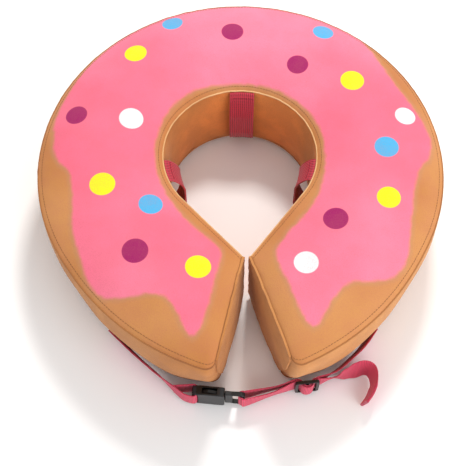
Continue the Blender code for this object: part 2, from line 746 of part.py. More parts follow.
def build_adjuster_webbing(ring):
    """One length: sewn anchor, tri-glide, round the plug's bar, back through the tri-glide, free tail."""
    bar = PLUG_LENGTH - PLUG_BAR / 2
    around = [(bar + 0.0028, 0.0040), (bar, 0.0037), (bar - 0.0032, 0.0026), (bar - 0.0038, 0.0),
              (bar - 0.0032, -0.0026), (bar, -0.0037), (bar + 0.0028, -0.0040)]
    anchor = [(0.1229, -0.1563), (0.1110, -0.1715), (0.1000, -0.1820), (0.0820, -0.1960)]
    tail = [(0.0790, -0.2025), (0.0910, -0.1990), (0.1010, -0.1955), (0.1090, -0.1930),
            (0.1152, -0.1950), (0.1178, -0.2010), (0.1172, -0.2100), (0.1125, -0.2205),
            (0.1057, -0.2291)]
    knots = [
        *[Vector(p) for p in anchor],
        *through_glide(False, -1),
        Vector((0.0220, -0.2100)),
        *[turned(p, BUCKLE_MOUTH, BUCKLE_TURN) for p in around],
        Vector((0.0180, -0.2160)),
        *through_glide(True, 1),
        *[Vector(p) for p in tail],
    ]
    ribbon("adjuster_webbing", knots, "pink_webbing", ring, ADJUSTER_LEAN, ADJUSTER_LAYERS, ADJUSTER_DROP)


def build_strap(ring):
    buckle = add_empty("buckle_frame", BUCKLE_MOUTH, BUCKLE_TURN, ring)
    plug = add_empty("plug_slide", (0.0, 0.0, 0.0), 0.0, buckle)
    glide = add_empty("glide_slide", GLIDE_CENTRE, GLIDE_TURN, ring)
    build_receptacle(buckle)
    build_plug(plug)
    build_prong("buckle_prong_upper", 1, plug)
    build_prong("buckle_prong_lower", -1, plug)
    build_glide(glide)
    build_left_webbing(ring)
    build_adjuster_webbing(ring)


clear_scene()
ring_frame = add_empty("ring_frame", RING_CENTRE)
build_cover(ring_frame)
build_bladder(ring_frame)
build_valve(ring_frame)
build_zip(ring_frame)
build_loops(ring_frame)
build_strap(ring_frame)
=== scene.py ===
"""The looks of an inflatable ring collar for a pet, drawn like an iced ring doughnut in short plush."""
import math

import bmesh
import bpy
import numpy as np
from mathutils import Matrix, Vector, noise


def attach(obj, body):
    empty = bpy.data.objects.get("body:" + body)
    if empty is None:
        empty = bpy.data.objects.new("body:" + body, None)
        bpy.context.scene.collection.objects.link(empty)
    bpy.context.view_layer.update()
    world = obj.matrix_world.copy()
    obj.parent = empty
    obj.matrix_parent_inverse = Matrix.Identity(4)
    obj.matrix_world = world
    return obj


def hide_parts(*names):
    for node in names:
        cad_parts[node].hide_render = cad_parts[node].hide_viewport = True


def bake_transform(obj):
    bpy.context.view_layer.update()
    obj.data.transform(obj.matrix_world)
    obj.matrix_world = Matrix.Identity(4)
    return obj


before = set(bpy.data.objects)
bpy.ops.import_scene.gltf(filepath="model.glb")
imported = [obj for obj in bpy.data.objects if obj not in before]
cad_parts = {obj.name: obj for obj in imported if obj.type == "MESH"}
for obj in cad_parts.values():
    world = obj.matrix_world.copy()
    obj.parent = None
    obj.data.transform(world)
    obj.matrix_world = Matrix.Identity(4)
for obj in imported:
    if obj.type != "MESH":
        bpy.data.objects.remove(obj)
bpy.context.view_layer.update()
MM = 0.001

# ---------------------------------------------------------------- driving dimensions, metres

RING_CENTRE = Vector((0.0, 0.0150))
OUTER_RADIUS = 0.200
LOBE_REACH = 0.020
LOBE_START = math.radians(122)
LOBE_FULL = math.radians(170)
NECK_RADIUS = 0.077
NECK_OFFSET = 0.011
TANGENT_ANGLE = math.radians(130)
END_ANGLE = math.radians(170.6)
INNER_END = Vector((0.0042, -0.104))
CORNER_ROUND = 0.011
SEAM_LOW = 0.007
SEAM_HIGH = 0.086
TOP_CROWN = 0.014
BOTTOM_CROWN = 0.010
END_CROWN = 0.35
END_FADE = 0.045
OUTER_INSET = 0.010
END_TUCK = 0.008
END_TUCK_LENGTH = 0.045
OUTER_BULGE = 0.004
INNER_INSET = 0.003
INNER_BULGE = 0.004
END_BULGE = 0.004
PLUSH = 0.0020
GAP = 0.0003
SEAM_SINK = 0.0013
SEAM_SINK_REACH = 0.0022
PUCKER_REACH = 0.010
END_SPAN = 0.1
WELT_RADIUS = 0.0008
STITCH_PITCH = 0.0030
STITCH_LENGTH = 0.0021
STITCH_RADIUS = 0.00028
# How far in from its seam a row of stitches runs, as a share of the top panel's width
STITCH_SHARE = 0.0040 / 0.12

ZIP_HALF_ANGLE = math.radians(55)
ZIP_LEVEL = 0.0465
ZIP_SLOT = 0.0050
TOOTH_PITCH = 0.0013
TOOTH_MARGIN = math.radians(1.2)
# A tooth's reach past and behind the zip's middle line
TOOTH_REACH = (0.0009, -0.0030)
# A tooth's outer and inner face: depth below the wall's surface, and width as a share of the pitch
TOOTH_FACES = ((0.0006, 0.30), (0.0022, 0.42))

LOOP_WIDTH = 0.025
LOOP_STANDOFF = 0.0095
LOOP_THICK = 0.0016
LOOP_ANGLES = {"back": -5.0, "left": 102.0, "right": -107.0}

WEBBING_WIDTH = 0.020
WEBBING_THICK = 0.0014
STRAP_LEVEL = 0.0137
# Stops along a strap's knots: (knot, degrees of lean), (knot, layers) and (knot, metres of drop)
LEVEL = [(0, 0.0)]
SINGLE = [(0, 1.0)]
LEFT_LEAN = [(0, 18), (3, 16), (4, 0)]
ADJUSTER_LEAN = [(0, -20), (3, -18), (4, 0), (14, 0), (15, -10), (16, 0), (22, 0), (23, 10), (24, 0),
                 (34, 0), (35, 18), (36, -8), (37, -24), (39, -22), (41, -14)]
ADJUSTER_LAYERS = [(41, 1.0), (41.4, 2.0)]
ADJUSTER_DROP = [(14, 0.0), (15, 0.0006), (16, 0.0), (22, 0.0), (23, 0.0006), (24, 0.0), (34, 0.0),
                 (38, 0.0034)]
BUCKLE_MOUTH = Vector((-0.0268, -0.2162))
BUCKLE_TURN = math.radians(-8.4)
RECEPTACLE_LENGTH = 0.031
PLUG_LENGTH = 0.0195
PLUG_BAR = 0.0042
GLIDE_CENTRE = Vector((0.0524, -0.2100))
GLIDE_TURN = math.radians(3.0)

# Camera: it looks at a point in front of the neck opening, from above and in front
LOOK_AT = Vector((-0.0121, -0.0637, 0.0860))
CAMERA_DISTANCE = 0.951
CAMERA_ELEVATION = math.radians(61.9)
CAMERA_AZIMUTH = math.radians(-3.0)
CAMERA_LENS = 77.0

# The icing's edge on the top panel, clockwise seen from above, from the left lobe's tip, in millimetres
# from the ring's centre. Along the back it runs to the outer seam or past it.
ICING_EDGE = [
    (-53, -187), (-60, -180), (-67, -164), (-76, -149), (-92, -144), (-116, -145), (-136, -141),
    (-148, -126), (-156, -101), (-163, -72), (-164, -40), (-167, -12), (-177, 2), (-184, 18),
    (-185, 36), (-184, 60), (-170, 95), (-150, 128), (-122, 158), (-86, 182), (-44, 196), (0, 199),
    (45, 199), (90, 186), (125, 165), (139, 142), (151, 112), (164, 80), (176, 58), (186, 34),
    (191, 12), (186, -8), (174, -23), (166, -46), (159, -76), (154, -101), (147, -123), (132, -137),
    (112, -141), (94, -142), (80, -152), (68, -169), (58, -183), (52, -181), (45, -168), (36, -140),
    (27, -108),
    (40, -85), (55, -69), (70, -50), (79, -26), (84, 0), (82, 32), (68, 60), (44, 82), (14, 92),
    (-20, 92), (-50, 82), (-72, 58), (-83, 28), (-84, 2), (-79, -22), (-68, -46), (-50, -72),
    (-31, -91), (-24, -103), (-30, -128), (-39, -160), (-46, -179),
]
# Dots: colour, place in millimetres from the ring's centre, and width in millimetres
DOTS = [
    ("yellow", (-102, 132), 23), ("yellow", (-135, -26), 25), ("yellow", (-46, -119), 24),
    ("yellow", (119, 84), 24), ("yellow", (139, -55), 23), ("purple", (-162, 58), 22),
    ("purple", (-104, -100), 25), ("purple", (0, 154), 23), ("purple", (65, 108), 22),
    ("purple", (86, -75), 24), ("blue", (-63, 174), 22), ("blue", (-89, -49), 23),
    ("blue", (96, 152), 22), ("blue", (144, 2), 24), ("white", (-107, 50), 24),
    ("white", (168, 40), 21), ("white", (54, -120), 23),
]
DOT_COLOURS = {
    "yellow": (0.97, 0.84, 0.0), "purple": (0.33, 0.0, 0.11),
    "blue": (0.06, 0.42, 0.74), "white": (0.88, 0.86, 0.87),
}

TAN = (0.61, 0.27, 0.085)
TAN_DARK = (0.50, 0.19, 0.045)
# painted warm bounce: the inner wall's plush is the same tan fabric, made deeper orange for the light
# bounced inside the hole
INNER_WALL_BOUNCE_TAN = (0.78, 0.25, 0.055)
ICING_PINK = (0.88, 0.145, 0.235)
ICING_RIM = (0.50, 0.25, 0.12)
RED_WEBBING = (0.58, 0.02, 0.05)
PINK_WEBBING = (0.95, 0.06, 0.15)
BLACK = (0.006, 0.006, 0.007)


# ---------------------------------------------------------------- camera, floor and light

def place_camera():
    """The photo's view."""
    back = Vector((
        math.sin(CAMERA_AZIMUTH) * math.cos(CAMERA_ELEVATION),
        -math.cos(CAMERA_AZIMUTH) * math.cos(CAMERA_ELEVATION),
        math.sin(CAMERA_ELEVATION),
    ))
    lens = bpy.data.cameras.new("camera")
    lens.lens = CAMERA_LENS
    lens.sensor_width = 36.0
    lens.clip_start = 0.02
    seat = bpy.data.objects.new("camera", lens)
    seat.location = LOOK_AT + back * CAMERA_DISTANCE
    seat.rotation_euler = (-back).to_track_quat("-Z", "Y").to_euler()
    bpy.context.collection.objects.link(seat)
    scene = bpy.context.scene
    scene.camera = seat
    scene.render.resolution_x = 465
    scene.render.resolution_y = 466
    scene.view_settings.view_transform = "Standard"


def area_light(name, place, target, size, power, colour=(1, 1, 1)):
    """A square lamp that points at a target."""
    lamp = bpy.data.lights.new(name, "AREA")
    lamp.size = size
    lamp.energy = power
    lamp.color = colour
    seat = bpy.data.objects.new(name, lamp)
    seat.location = place
    seat.rotation_euler = (Vector(target) - Vector(place)).to_track_quat("-Z", "Y").to_euler()
    bpy.context.collection.objects.link(seat)


def light_scene():
    """A white studio, a key lamp behind the ring and a softer one in front."""
    world = bpy.data.worlds.new("studio")
    bpy.context.scene.world = world
    world.use_nodes = True
    world.node_tree.nodes["Background"].inputs["Color"].default_value = (1.0, 1.0, 1.0, 1.0)
    world.node_tree.nodes["Background"].inputs["Strength"].default_value = 0.72
    area_light("key", (0.25, 0.95, 1.30), (0.0, 0.0, 0.05), 0.30, 16.0, (1.0, 0.97, 0.93))
    area_light("front", (0.9, -1.2, 0.6), (0.0, 0.0, 0.05), 1.2, 13.0)


def lay_floor():
    """The white ground, which is scenery and no part of the object."""
    work = bmesh.new()
    bmesh.ops.create_grid(work, x_segments=1, y_segments=1, size=3.0)
    mesh = bpy.data.meshes.new("floor")
    work.to_mesh(mesh)
    work.free()
    floor = bpy.data.objects.new("floor", mesh)
    floor.location.z = -0.0006
    bpy.context.collection.objects.link(floor)
    mesh.materials.append(plain("floor_white", (0.98, 0.98, 0.98), 0.8))


# ---------------------------------------------------------------- materials

class Shading:
    """A material's node tree, with short ways to add nodes."""

    def __init__(self, name):
        self.material = bpy.data.materials.new(name)
        self.material.use_nodes = True
        self.nodes = self.material.node_tree.nodes
        self.links = self.material.node_tree.links
        self.shader = self.nodes["Principled BSDF"]

    def join(self, source, target):
        self.links.new(source, target)

    def add(self, kind, **values):
        node = self.nodes.new(kind)
        for key, value in values.items():
            if key in node.inputs:
                node.inputs[key].default_value = value
            else:
                setattr(node, key, value)
        return node

    def maths(self, operation, first, second=0.0):
        node = self.nodes.new("ShaderNodeMath")
        node.operation = operation
        for socket, value in zip(node.inputs, (first, second)):
            if isinstance(value, (int, float)):
                socket.default_value = value
            else:
                self.join(value, socket)
        return node.outputs[0]

    def ramp(self, value, low, high):
        """0 at low, 1 at high, smooth between."""
        node = self.nodes.new("ShaderNodeMapRange")
        node.interpolation_type = "SMOOTHSTEP"
        node.inputs["From Min"].default_value = low
        node.inputs["From Max"].default_value = high
        self.join(value, node.inputs["Value"])
        return node.outputs["Result"]

    def mix(self, share, first, second):
        node = self.nodes.new("ShaderNodeMix")
        node.data_type = "RGBA"
        for socket, value in ((node.inputs[6], first), (node.inputs[7], second)):
            if isinstance(value, tuple):
                socket.default_value = (*value, 1.0)
            else:
                self.join(value, socket)
        if isinstance(share, (int, float)):
            node.inputs[0].default_value = share
        else:
            self.join(share, node.inputs[0])
        return node.outputs[2]

    def place(self):
        return self.add("ShaderNodeTexCoord").outputs["Object"]

    def noise(self, scale, detail=3.0, vector=None):
        node = self.add("ShaderNodeTexNoise", Scale=scale, Detail=detail)
        self.join(vector or self.place(), node.inputs["Vector"])
        return node.outputs["Fac"]

    def bump(self, height, distance, strength=1.0, under=None):
        node = self.add("ShaderNodeBump", Distance=distance, Strength=strength)
        self.join(height, node.inputs["Height"])
        if under is not None:
            self.join(under, node.inputs["Normal"])
        return node.outputs["Normal"]


def plain(name, colour, roughness, metallic=0.0):
    """One even colour."""
    shade = Shading(name)
    shade.shader.inputs["Base Color"].default_value = (*colour, 1.0)
    shade.shader.inputs["Roughness"].default_value = roughness
    shade.shader.inputs["Metallic"].default_value = metallic
    return shade.material


def finish_plush(shade, colour, shadow=(0.25, 0.08, 0.03), depth=0.20):
    """Short plush: brushed patches, fine pile and a soft sheen."""
    patches = shade.noise(42.0, 5.0)
    pile = shade.noise(1300.0, 2.0)
    deeper = shade.mix(depth, colour, shadow)
    brushed = shade.mix(shade.ramp(patches, 0.38, 0.62), deeper, colour)
    flecked = shade.mix(shade.maths("MULTIPLY", shade.ramp(pile, 0.55, 0.30), 0.22), brushed, shadow)
    shade.join(flecked, shade.shader.inputs["Base Color"])
    coarse = shade.bump(patches, 0.0014, 0.45)
    fine = shade.bump(pile, 0.0005, 0.60, coarse)
    shade.join(fine, shade.shader.inputs["Normal"])
    shade.shader.inputs["Roughness"].default_value = 0.88
    shade.shader.inputs["Sheen Weight"].default_value = 0.10
    shade.shader.inputs["Sheen Roughness"].default_value = 0.45
    shade.shader.inputs["Sheen Tint"].default_value = (1.0, 0.85, 0.75, 1.0)
    return shade.material


def plush(name, light, dark):
    """Plush in one colour that drifts slowly between light and dark."""
    shade = Shading(name)
    drift = shade.ramp(shade.noise(9.0, 2.0), 0.30, 0.70)
    return finish_plush(shade, shade.mix(drift, dark, light))


def iced_plush():
    """The top panel's print: tan dough, pink icing with a soft browned edge, and the dots over it."""
    shade = Shading("iced_plush")
    drift = shade.ramp(shade.noise(9.0, 2.0), 0.30, 0.70)
    colour = shade.mix(drift, TAN_DARK, TAN)
    edge = shade.add("ShaderNodeAttribute", attribute_name="icing").outputs["Fac"]
    wander = shade.maths("MULTIPLY", shade.maths("SUBTRACT", shade.noise(110.0, 2.0), 0.5), 0.004)
    edge = shade.maths("ADD", edge, wander)
    rim = shade.maths("MULTIPLY", shade.ramp(edge, -0.0060, -0.0010), 0.50)
    colour = shade.mix(rim, colour, ICING_RIM)
    tone = shade.ramp(shade.noise(7.0, 2.0), 0.30, 0.75)
    pink = shade.mix(tone, ICING_PINK, (0.92, 0.22, 0.335))
    colour = shade.mix(shade.ramp(edge, -0.0020, 0.0026), colour, pink)
    for name, (x, y), width in DOTS:
        away = shade.add("ShaderNodeVectorMath", operation="SUBTRACT")
        shade.join(shade.place(), away.inputs[0])
        away.inputs[1].default_value = (x * MM + RING_CENTRE.x, y * MM + RING_CENTRE.y, 0.0)
        flat = shade.add("ShaderNodeVectorMath", operation="MULTIPLY")
        shade.join(away.outputs[0], flat.inputs[0])
        flat.inputs[1].default_value = (1.0, 1.0, 0.0)
        reach = shade.add("ShaderNodeVectorMath", operation="LENGTH")
        shade.join(flat.outputs[0], reach.inputs[0])
        radius = width * MM / 2
        inside = shade.ramp(reach.outputs["Value"], radius + 0.0005, radius - 0.0005)
        colour = shade.mix(inside, colour, DOT_COLOURS[name])
    return finish_plush(shade, colour, (0.45, 0.10, 0.10), 0.10)


def webbing(name, colour, pitch=0.0016, lengthwise=False):
    """Woven webbing: ribs across or along it, with a fine thread between, from the piece's own UV map."""
    shade = Shading(name)
    along = shade.add("ShaderNodeUVMap", uv_map="UVMap").outputs["UV"]
    split = shade.add("ShaderNodeSeparateXYZ")
    shade.join(along, split.inputs[0])
    turn = 2 * math.pi / pitch
    ribbed, crossed = ("Y", "X") if lengthwise else ("X", "Y")
    rib = shade.maths("SINE", shade.maths("MULTIPLY", split.outputs[ribbed], turn))
    weft = shade.maths("SINE", shade.maths("MULTIPLY", split.outputs[crossed], turn * 0.8))
    woven = shade.maths("ADD", rib, shade.maths("MULTIPLY", shade.maths("MULTIPLY", rib, weft), 0.6))
    shadow = tuple(c * 0.45 for c in colour)
    shade.join(shade.mix(shade.ramp(woven, -1.2, 0.6), shadow, colour), shade.shader.inputs["Base Color"])
    shade.join(shade.bump(woven, 0.0004, 0.8), shade.shader.inputs["Normal"])
    shade.shader.inputs["Roughness"].default_value = 0.62
    shade.shader.inputs["Sheen Weight"].default_value = 0.15
    return shade.material


def moulded(name, colour, roughness):
    """Moulded plastic: a faint surface grain and uneven gloss."""
    shade = Shading(name)
    grain = shade.noise(900.0, 2.0)
    shade.shader.inputs["Base Color"].default_value = (*colour, 1.0)
    shade.join(shade.bump(grain, 0.0001, 0.30), shade.shader.inputs["Normal"])
    uneven = shade.maths("ADD", shade.maths("MULTIPLY", shade.noise(60.0), 0.12), roughness - 0.06)
    shade.join(uneven, shade.shader.inputs["Roughness"])
    return shade.material


def twisted_thread(name, colour):
    """Sewing thread: a fine light and dark grain."""
    shade = Shading(name)
    ply = shade.ramp(shade.noise(2500.0, 1.0), 0.35, 0.65)
    shadow = tuple(c * 0.5 for c in colour)
    shade.join(shade.mix(ply, shadow, colour), shade.shader.inputs["Base Color"])
    shade.shader.inputs["Roughness"].default_value = 0.8
    return shade.material


def plated():
    """Plated metal with uneven gloss."""
    shade = Shading("plated_zip_metal")
    shade.shader.inputs["Base Color"].default_value = (0.62, 0.56, 0.46, 1.0)
    shade.shader.inputs["Metallic"].default_value = 1.0
    uneven = shade.maths("ADD", shade.maths("MULTIPLY", shade.noise(220.0), 0.2), 0.22)
    shade.join(uneven, shade.shader.inputs["Roughness"])
    return shade.material


# ---------------------------------------------------------------- meshes

def add_piece(name, mesh, finish, smooth=50):
    """A mesh as an object, with its material and sharp edges past an angle."""
    mesh.materials.append(finish)
    mesh.shade_smooth()
    mesh.set_sharp_from_angle(angle=math.radians(smooth))
    made = bpy.data.objects.new(name, mesh)
    bpy.context.collection.objects.link(made)
    return made


def cloth(name, front, back, finish, keep=None, uv=None):
    """A closed sheet between two grids of points; cells that keep() refuses stay open."""
    rows, columns = len(front), len(front[0])
    points = [p for side in (front, back) for row in side for p in row]

    def at(side, i, j):
        return side * rows * columns + i * columns + j

    kept = {(i, j) for i in range(rows - 1) for j in range(columns - 1) if keep is None or keep(i, j)}
    faces = []
    for i, j in sorted(kept):
        ring = [(i, j), (i + 1, j), (i + 1, j + 1), (i, j + 1)]
        faces.append([at(0, a, b) for a, b in ring])
        faces.append([at(1, a, b) for a, b in reversed(ring)])
        beyond = [(i, j - 1), (i + 1, j), (i, j + 1), (i - 1, j)]
        for side, neighbour in enumerate(beyond):
            if neighbour in kept:
                continue
            (a, b), (c, d) = ring[side], ring[(side + 1) % 4]
            faces.append([at(0, c, d), at(0, a, b), at(1, a, b), at(1, c, d)])
    mesh = bpy.data.meshes.new(name)
    mesh.from_pydata([tuple(p) for p in points], [], faces)
    work = bmesh.new()
    work.from_mesh(mesh)
    if uv:
        layer = work.loops.layers.uv.new("UVMap")
        for face in work.faces:
            for corner in face.loops:
                index = corner.vert.index % (rows * columns)
                corner[layer].uv = uv(index // columns, index % columns)
    bmesh.ops.delete(work, geom=[v for v in work.verts if not v.link_faces], context="VERTS")
    bmesh.ops.recalc_face_normals(work, faces=work.faces)
    work.to_mesh(mesh)
    work.free()
    return add_piece(name, mesh, finish)


def smooth_path(points, steps):
    """Points along a Catmull-Rom curve through the given points."""
    knots = [Vector(p) for p in points]
    knots = [2 * knots[0] - knots[1], *knots, 2 * knots[-1] - knots[-2]]
    path = []
    for a, b, c, d in zip(knots, knots[1:], knots[2:], knots[3:]):
        for k in range(steps):
            t = k / steps
            path.append(0.5 * (2 * b + (c - a) * t + (2 * a - 5 * b + 4 * c - d) * t**2
                               + (3 * b - a - 3 * c + d) * t**3))
    return [*path, knots[-2]]


def turned(point, centre, angle):
    """A plan point given from a centre and turned by an angle, in the plan."""
    x, y = point
    return Vector((centre.x + x * math.cos(angle) - y * math.sin(angle),
                   centre.y + x * math.sin(angle) + y * math.cos(angle)))


def spread(low, high, count):
    """Even values from low to high, both included."""
    return [low + (high - low) * k / count for k in range(count + 1)]


def grid(rows, columns, point):
    return [[point(a, b) for b in columns] for a in rows]


# ---------------------------------------------------------------- the ring's surfaces

def smoothstep(value):
    value = min(1.0, max(0.0, value))
    return value * value * (3 - 2 * value)


def outer_seam(angle):
    """The outer seam's plan point, by the angle from the back of the ring."""
    grown = min(1.0, max(0.0, (abs(angle) - LOBE_START) / (LOBE_FULL - LOBE_START)))
    radius = OUTER_RADIUS + LOBE_REACH * grown**1.5
    before_end = (END_ANGLE - abs(angle)) * radius
    short = CORNER_ROUND - min(before_end, CORNER_ROUND)
    radius -= CORNER_ROUND - math.sqrt(max(CORNER_ROUND**2 - short**2, 0.0))
    return Vector((-radius * math.sin(angle), radius * math.cos(angle)))


def inner_seam(angle):
    """The inner seam's plan point: round the neck, then straight to the lobe's tip."""
    side = 1 if angle >= 0 else -1
    on_circle = min(abs(angle), TANGENT_ANGLE)
    point = Vector((-side * NECK_RADIUS * math.sin(on_circle),
                    NECK_OFFSET + NECK_RADIUS * math.cos(on_circle)))
    run_out = max(0.0, (abs(angle) - TANGENT_ANGLE) / (END_ANGLE - TANGENT_ANGLE))
    return point.lerp(Vector((-side * INNER_END.x, INNER_END.y)), run_out)


def across(angle):
    """The plan direction from the inner seam to the outer seam."""
    return (outer_seam(angle) - inner_seam(angle)).normalized()


def before_end(angle):
    """The distance left to the ring's end, along the outside."""
    return (END_ANGLE - abs(angle)) * OUTER_RADIUS


def rise(level):
    """0 at the low seam, 1 at the high seam."""
    return (level - SEAM_LOW) / (SEAM_HIGH - SEAM_LOW)


def seam_pinch(distance):
    """How deep the plush sinks into a seam, by the distance from it."""
    return SEAM_SINK * math.exp(-max(distance, 0.0) / SEAM_SINK_REACH)


def pucker(place, distance, size=0.0007):
    """Short gathers that run in from a seam and fade out."""
    return size * noise.noise(Vector(place) * 150.0) * math.exp(-max(distance, 0.0) / PUCKER_REACH)


def outer_wall(angle, level, depth=0.0):
    part = rise(level)
    inset = OUTER_INSET + END_TUCK * smoothstep(1 - before_end(angle) / END_TUCK_LENGTH)
    out = -inset * (1 - part) ** 1.3 + OUTER_BULGE * 4 * part * (1 - part) - depth
    plan = outer_seam(angle) + across(angle) * out + RING_CENTRE
    return Vector((plan.x, plan.y, level))


def inner_wall(angle, level, depth=0.0):
    part = rise(level)
    fade = smoothstep((END_ANGLE - abs(angle)) / math.radians(25))
    out = -(INNER_INSET * (1 - part) + INNER_BULGE * 4 * part * (1 - part)) * fade + depth
    plan = inner_seam(angle) + across(angle) * out + RING_CENTRE
    return Vector((plan.x, plan.y, level))


def soft_wave(place, size):
    """Slow unevenness of the stuffed cover."""
    return size * noise.noise(Vector(place) * 22.0)


def end_fade(angle):
    """How much of the top's crown is left near the ring's ends."""
    left = min(1.0, before_end(angle) / END_FADE)
    return END_CROWN + (1 - END_CROWN) * (1 - (1 - left) ** 2.2)


def crown(share):
    """The top's and bottom's bulge across the ring: 0 at both seams, 1 in the middle."""
    return 1 - abs(2 * share - 1) ** 2.4


def top_point(angle, share, depth=0.0):
    start, stop = inner_seam(angle), outer_seam(angle)
    plan = start.lerp(stop, share) + RING_CENTRE
    width = (stop - start).length
    to_seam = min(share * width, (1 - share) * width, before_end(angle))
    level = SEAM_HIGH + TOP_CROWN * end_fade(angle) * crown(share)
    place = (plan.x, plan.y, level)
    level += soft_wave(place, 0.0009) * (1 - math.exp(-to_seam / 0.02))
    level += pucker(place, to_seam) - seam_pinch(to_seam)
    return Vector((plan.x, plan.y, level - depth))


def bottom_point(angle, share, depth=0.0):
    plan = inner_wall(angle, SEAM_LOW).lerp(outer_wall(angle, SEAM_LOW), share)
    level = max(SEAM_LOW - BOTTOM_CROWN * crown(share), 0.0)
    return Vector((plan.x, plan.y, level + depth))


def stations(count):
    """Angles from one end of the ring to the other, closer together at both ends."""
    near_end = [0.0, 0.0004, 0.0010, 0.0020, 0.0033, 0.0048, 0.0066, 0.0086]
    ends = [END_ANGLE - d / (OUTER_RADIUS + LOBE_REACH) for d in near_end]
    last = END_ANGLE - CORNER_ROUND / (OUTER_RADIUS + LOBE_REACH)
    middle = [last * (1 - 2 * k / count) for k in range(count + 1)]
    return ends + middle + [-a for a in reversed(ends)]


def seam_shares(count):
    """Shares across a panel, closer together at both seams."""
    return [0.5 - 0.5 * math.cos(math.pi * k / count) for k in range(count + 1)]


# ---------------------------------------------------------------- the cover

def icing_distance(points):
    """Signed distance from the icing's edge, positive inside it, for an array of plan points."""
    loop = [Vector((x * MM, y * MM)) + RING_CENTRE for x, y in ICING_EDGE]
    loop = smooth_path([loop[-1], *loop, loop[0]], 5)
    edge = np.array([tuple(p) for p in loop])
    start, stop = edge, np.roll(edge, -1, axis=0)
    best = np.full(len(points), 1.0)
    inside = np.zeros(len(points), dtype=bool)
    for (ax, ay), (bx, by) in zip(start, stop):
        dx, dy = bx - ax, by - ay
        length = dx * dx + dy * dy
        if length < 1e-14:
            continue
        t = np.clip(((points[:, 0] - ax) * dx + (points[:, 1] - ay) * dy) / length, 0, 1)
        best = np.minimum(best, np.hypot(points[:, 0] - ax - t * dx, points[:, 1] - ay - t * dy))
        spans = (ay > points[:, 1]) != (by > points[:, 1])
        crossing = ax + (points[:, 1] - ay) * dx / (dy if dy else 1e-12)
        inside ^= spans & (points[:, 0] < crossing)
    return np.where(inside, best, -best)


def make_top(finish):
    angles = stations(380)
    shares = seam_shares(44)
    front = grid(angles, shares, top_point)
    back = grid(angles, shares, lambda a, s: top_point(a, s, PLUSH))
    piece = cloth("top_panel_plush", front, back, finish)
    mesh = piece.data
    points = np.empty(len(mesh.vertices) * 3)
    mesh.vertices.foreach_get("co", points)
    layer = mesh.attributes.new("icing", "FLOAT", "POINT")
    layer.data.foreach_set("value", icing_distance(points.reshape(-1, 3)[:, :2]))
    dress(piece, "top_panel")


def dress(piece, node):
    """Put a piece on the collar, and in place of its CAD node if it has one."""
    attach(piece, "collar")
    if node:
        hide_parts(node)


def make_bottom(finish):
    angles = stations(160)
    shares = seam_shares(16)
    piece = cloth("bottom_panel_plush",
                  grid(angles, shares, bottom_point),
                  grid(angles, shares, lambda a, s: bottom_point(a, s, PLUSH)), finish)
    dress(piece, "bottom_panel")


def wall_surface(wall, angle, level, depth):
    """A point on a wall, with its seams drawn in and a slow unevenness."""
    base = wall(angle, level)
    to_seam = min(level - SEAM_LOW, SEAM_HIGH - level, before_end(angle))
    sink = seam_pinch(to_seam) - pucker(base, to_seam, 0.0010) - soft_wave(base, 0.0012)
    return wall(angle, level, sink + depth)


def make_walls(outer_finish, inner_finish):
    low, high = SEAM_LOW + 0.0006, SEAM_HIGH - 0.0006
    slot = (ZIP_LEVEL - ZIP_SLOT, ZIP_LEVEL + ZIP_SLOT)
    below = [low + (slot[0] - low) * s for s in seam_shares(12)]
    above = [slot[1] + (high - slot[1]) * s for s in seam_shares(12)]
    levels = below + above
    angles = sorted({*stations(330), ZIP_HALF_ANGLE, -ZIP_HALF_ANGLE}, reverse=True)

    def is_cloth(i, j):
        return not (abs(angles[i] + angles[i + 1]) / 2 < ZIP_HALF_ANGLE and j == len(below) - 1)

    outer = cloth("outer_wall_plush",
                  grid(angles, levels, lambda a, z: wall_surface(outer_wall, a, z, 0.0)),
                  grid(angles, levels, lambda a, z: wall_surface(outer_wall, a, z, PLUSH)),
                  outer_finish, is_cloth)
    dress(outer, "outer_wall_panel")
    levels = [low + (high - low) * s for s in seam_shares(22)]
    angles = stations(220)
    inner = cloth("inner_wall_plush",
                  grid(angles, levels, lambda a, z: wall_surface(inner_wall, a, z, 0.0)),
                  grid(angles, levels, lambda a, z: wall_surface(inner_wall, a, z, PLUSH)),
                  inner_finish)
    dress(inner, "inner_wall_panel")


def make_ends(finish):
    for name, side in (("left", 1), ("right", -1)):
        angle = side * END_ANGLE
        along = across(angle)
        facing = Vector((side, 0.0))
        facing = (facing - along * facing.dot(along)).normalized()

        def point(share, part, depth):
            low = bottom_point(angle, share).z
            high = SEAM_HIGH + TOP_CROWN * END_CROWN * crown(share)
            level = low + (high - low) * part
            held = min(max(level, SEAM_LOW), SEAM_HIGH)
            place = inner_wall(angle, held).lerp(outer_wall(angle, held), share)
            swell = END_BULGE * 16 * share * (1 - share) * part * (1 - part)
            to_seam = min(share, 1 - share, part, 1 - part) * END_SPAN
            swell += soft_wave((*place.xy, level), 0.0010) + pucker((*place.xy, level), to_seam)
            plan = place.xy + facing * (GAP + PLUSH - depth + swell)
            return Vector((plan.x, plan.y, level))

        shares, parts = seam_shares(30), seam_shares(24)
        piece = cloth(f"end_panel_{name}_plush",
                      grid(shares, parts, lambda s, p: point(s, p, 0.0)),
                      grid(shares, parts, lambda s, p: point(s, p, PLUSH)), finish)
        dress(piece, f"end_panel_{name}")


